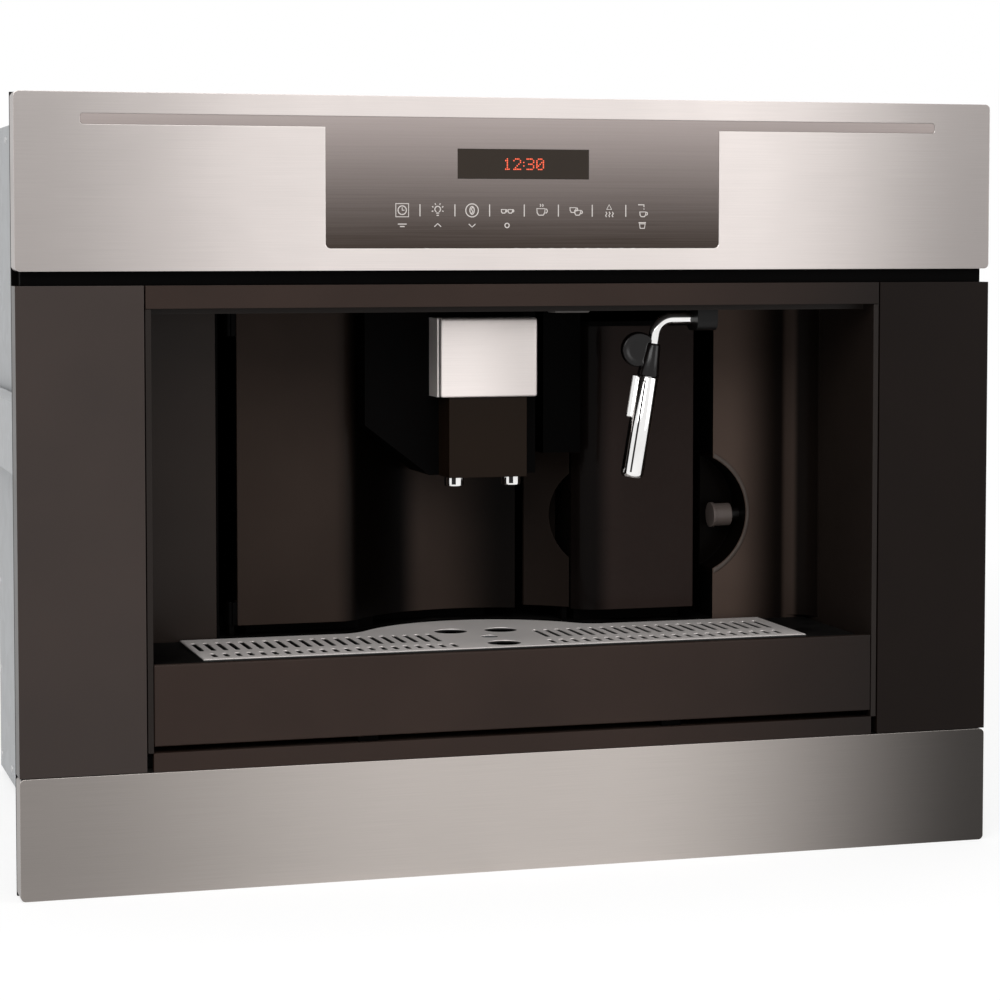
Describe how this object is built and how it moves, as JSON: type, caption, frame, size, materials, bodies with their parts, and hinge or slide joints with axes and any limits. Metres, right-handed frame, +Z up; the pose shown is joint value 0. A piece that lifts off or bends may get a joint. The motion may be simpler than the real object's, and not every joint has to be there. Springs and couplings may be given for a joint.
{
  "type": "built-in coffee machine",
  "caption": "Built-in coffee machine with a steel control fascia, open cup cavity, drip tray, height-set spout, steam wand, water tank and telescopic side runners.",
  "frame": {"origin": "middle of the front's lower edge, in the plane where the frame seats on the cabinet's front edge", "axes": "+X to the right across the front, +Y back into the cabinet, +Z up"},
  "size_m": [0.594, 0.398, 0.455],
  "materials": {
    "steel_brushed": "brushed along the width",
    "control_glass": "printed glass, smooth",
    "display": "dark window",
    "dark_panel": "dark brown, satin",
    "black_plastic": "black, fine texture",
    "grid_steel": "stamped, satin",
    "chrome": "polished",
    "galvanised": "galvanised sheet",
    "runner_steel": "zinc plated",
    "tank_plastic": "dark, slightly clear",
    "clear_lens": "frosted",
    "smoked_plastic": "smoked",
    "grey_plastic": "moulded",
    "circuit_board": "board with parts",
    "machined_metal": "cast and machined",
    "burr_steel": "hardened",
    "hose": "silicone",
    "screw_steel": "zinc plated"
  },
  "bodies": {
    "cabinet_runners": {"runner_fixed_left": "runner_steel", "runner_fixed_right": "runner_steel"},
    "mid_runner_left": {"runner_mid_left": "runner_steel"},
    "mid_runner_right": {"runner_mid_right": "runner_steel"},
    "tray": {"drip_tray": "black_plastic", "tray_front": "dark_panel"},
    "cup_grid": {"drip_grid": "grid_steel"},
    "float": {"tray_float": "grey_plastic"},
    "door": {"service_door": "dark_panel", "spout_arm": "black_plastic", "spout_cover": "steel_brushed"},
    "spout": {"spout_slider": "dark_panel", "spout_nozzles": "chrome"},
    "tank": {"water_tank": "tank_plastic", "tank_lid": "black_plastic"},
    "plunger": {"catch_plunger": "grey_plastic"},
    "wand": {"wand_tube": "chrome", "wand_grip": "black_plastic"},
    "frother": {"frother_tube": "chrome"},
    "beans_lid": {"bean_lid": "smoked_plastic"},
    "ground_lid": {"powder_lid": "black_plastic"},
    "knob": {"grind_knob": "grey_plastic"},
    "rocker": {"main_switch": "black_plastic"},
    "burr": {"burr_cone": "burr_steel"},
    "screw": {"drive_screw": "machined_metal"},
    "piston": {"brew_piston": "black_plastic"},
    "machine": {"runners_inner": "runner_steel", "chassis_base": "galvanised", "side_wall_left": "galvanised", "side_wall_right": "galvanised", "rear_cover": "galvanised", "top_cover": "galvanised", "cover_screws": "screw_steel", "front_frame": "black_plastic", "control_fascia": "steel_brushed", "control_glass": "control_glass", "display_window": "display", "touch_board": "circuit_board", "side_panel_left": "dark_panel", "side_panel_right": "dark_panel", "top_rail": "dark_panel", "lower_fascia": "steel_brushed", "cavity_liner": "dark_panel", "tray_deck": "dark_panel", "back_panel_left": "dark_panel", "back_panel_right": "dark_panel", "centre_pillar": "dark_panel", "light_lens": "clear_lens", "inner_housing": "black_plastic", "wand_bracket": "black_plastic", "bean_container": "smoked_plastic", "grinder_housing": "grey_plastic", "grinder_motor": "machined_metal", "pump": "grey_plastic", "boiler": "machined_metal", "water_hoses": "hose", "power_board": "circuit_board", "inlet_socket": "black_plastic", "grounds_container": "black_plastic", "infuser_frame": "grey_plastic"}
  },
  "joints": [
    {"name": "pull_out", "type": "slide", "parent": "cabinet_runners", "child": "machine", "axis": [0, -1, 0], "range_m": [0, 0.3]},
    {"name": "mid_left_slide", "type": "slide", "parent": "cabinet_runners", "child": "mid_runner_left", "axis": [0, -1, 0], "range_m": [0, 0.15]},
    {"name": "mid_right_slide", "type": "slide", "parent": "cabinet_runners", "child": "mid_runner_right", "axis": [0, -1, 0], "range_m": [0, 0.15]},
    {"name": "tray_slide", "type": "slide", "parent": "machine", "child": "tray", "axis": [0, -1, 0], "range_m": [0, 0.182]},
    {"name": "grid_lift", "type": "slide", "parent": "tray", "child": "cup_grid", "axis": [0, 0, 1], "range_m": [0, 0.04]},
    {"name": "float_rise", "type": "slide", "parent": "tray", "child": "float", "axis": [0, 0, 1], "range_m": [0, 0.006]},
    {"name": "door_swing", "type": "hinge", "parent": "machine", "child": "door", "pos_m": [-0.1558, 0.088, 0.233], "axis": [0, 0, -1], "range_deg": [0, 90]},
    {"name": "spout_height", "type": "slide", "parent": "door", "child": "spout", "axis": [0, 0, 1], "range_m": [0, 0.04]},
    {"name": "tank_slide", "type": "slide", "parent": "machine", "child": "tank", "axis": [0, -1, 0], "range_m": [0, 0.04]},
    {"name": "plunger_push", "type": "slide", "parent": "machine", "child": "plunger", "axis": [1, 0, 0], "range_m": [0, 0.004], "stiffness_N_per_m": 400, "springref_m": -0.002},
    {"name": "wand_swing", "type": "hinge", "parent": "machine", "child": "wand", "pos_m": [0.119, 0.022, 0.3245], "axis": [-1, 0, 0], "range_deg": [0, 50]},
    {"name": "frother_pull", "type": "slide", "parent": "wand", "child": "frother", "axis": [-0.165, 0, -0.9863], "range_m": [0, 0.028]},
    {"name": "bean_lid_hinge", "type": "hinge", "parent": "machine", "child": "beans_lid", "pos_m": [-0.044, 0.271, 0.452], "axis": [-1, 0, 0], "range_deg": [0, 100]},
    {"name": "powder_lid_hinge", "type": "hinge", "parent": "machine", "child": "ground_lid", "pos_m": [0.042, 0.238, 0.452], "axis": [-1, 0, 0], "range_deg": [0, 100]},
    {"name": "grind_turn", "type": "hinge", "parent": "machine", "child": "knob", "pos_m": [0.042, 0.172, 0.4498], "axis": [0, 0, 1], "range_deg": [-120, 120]},
    {"name": "switch_rock", "type": "hinge", "parent": "machine", "child": "rocker", "pos_m": [-0.195, 0.37, 0.078], "axis": [1, 0, 0], "range_deg": [0, 12]},
    {"name": "burr_spin", "type": "hinge", "parent": "machine", "child": "burr", "pos_m": [-0.04, 0.213, 0.349], "axis": [0, 0, 1], "continuous": true},
    {"name": "screw_turn", "type": "hinge", "parent": "machine", "child": "screw", "pos_m": [-0.02, 0.201, 0.171], "axis": [0, 0, 1], "range_deg": [0, 720]},
    {"name": "piston_rise", "type": "slide", "parent": "machine", "child": "piston", "axis": [0, 0, 1], "range_m": [0, 0.04]}
  ],
  "couplings": [
    {"joint": "mid_left_slide", "follows": "pull_out", "ratio": 0.5},
    {"joint": "mid_right_slide", "follows": "pull_out", "ratio": 0.5},
    {"joint": "piston_rise", "follows": "screw_turn", "m_per_rad": 0.0031831}
  ]
}
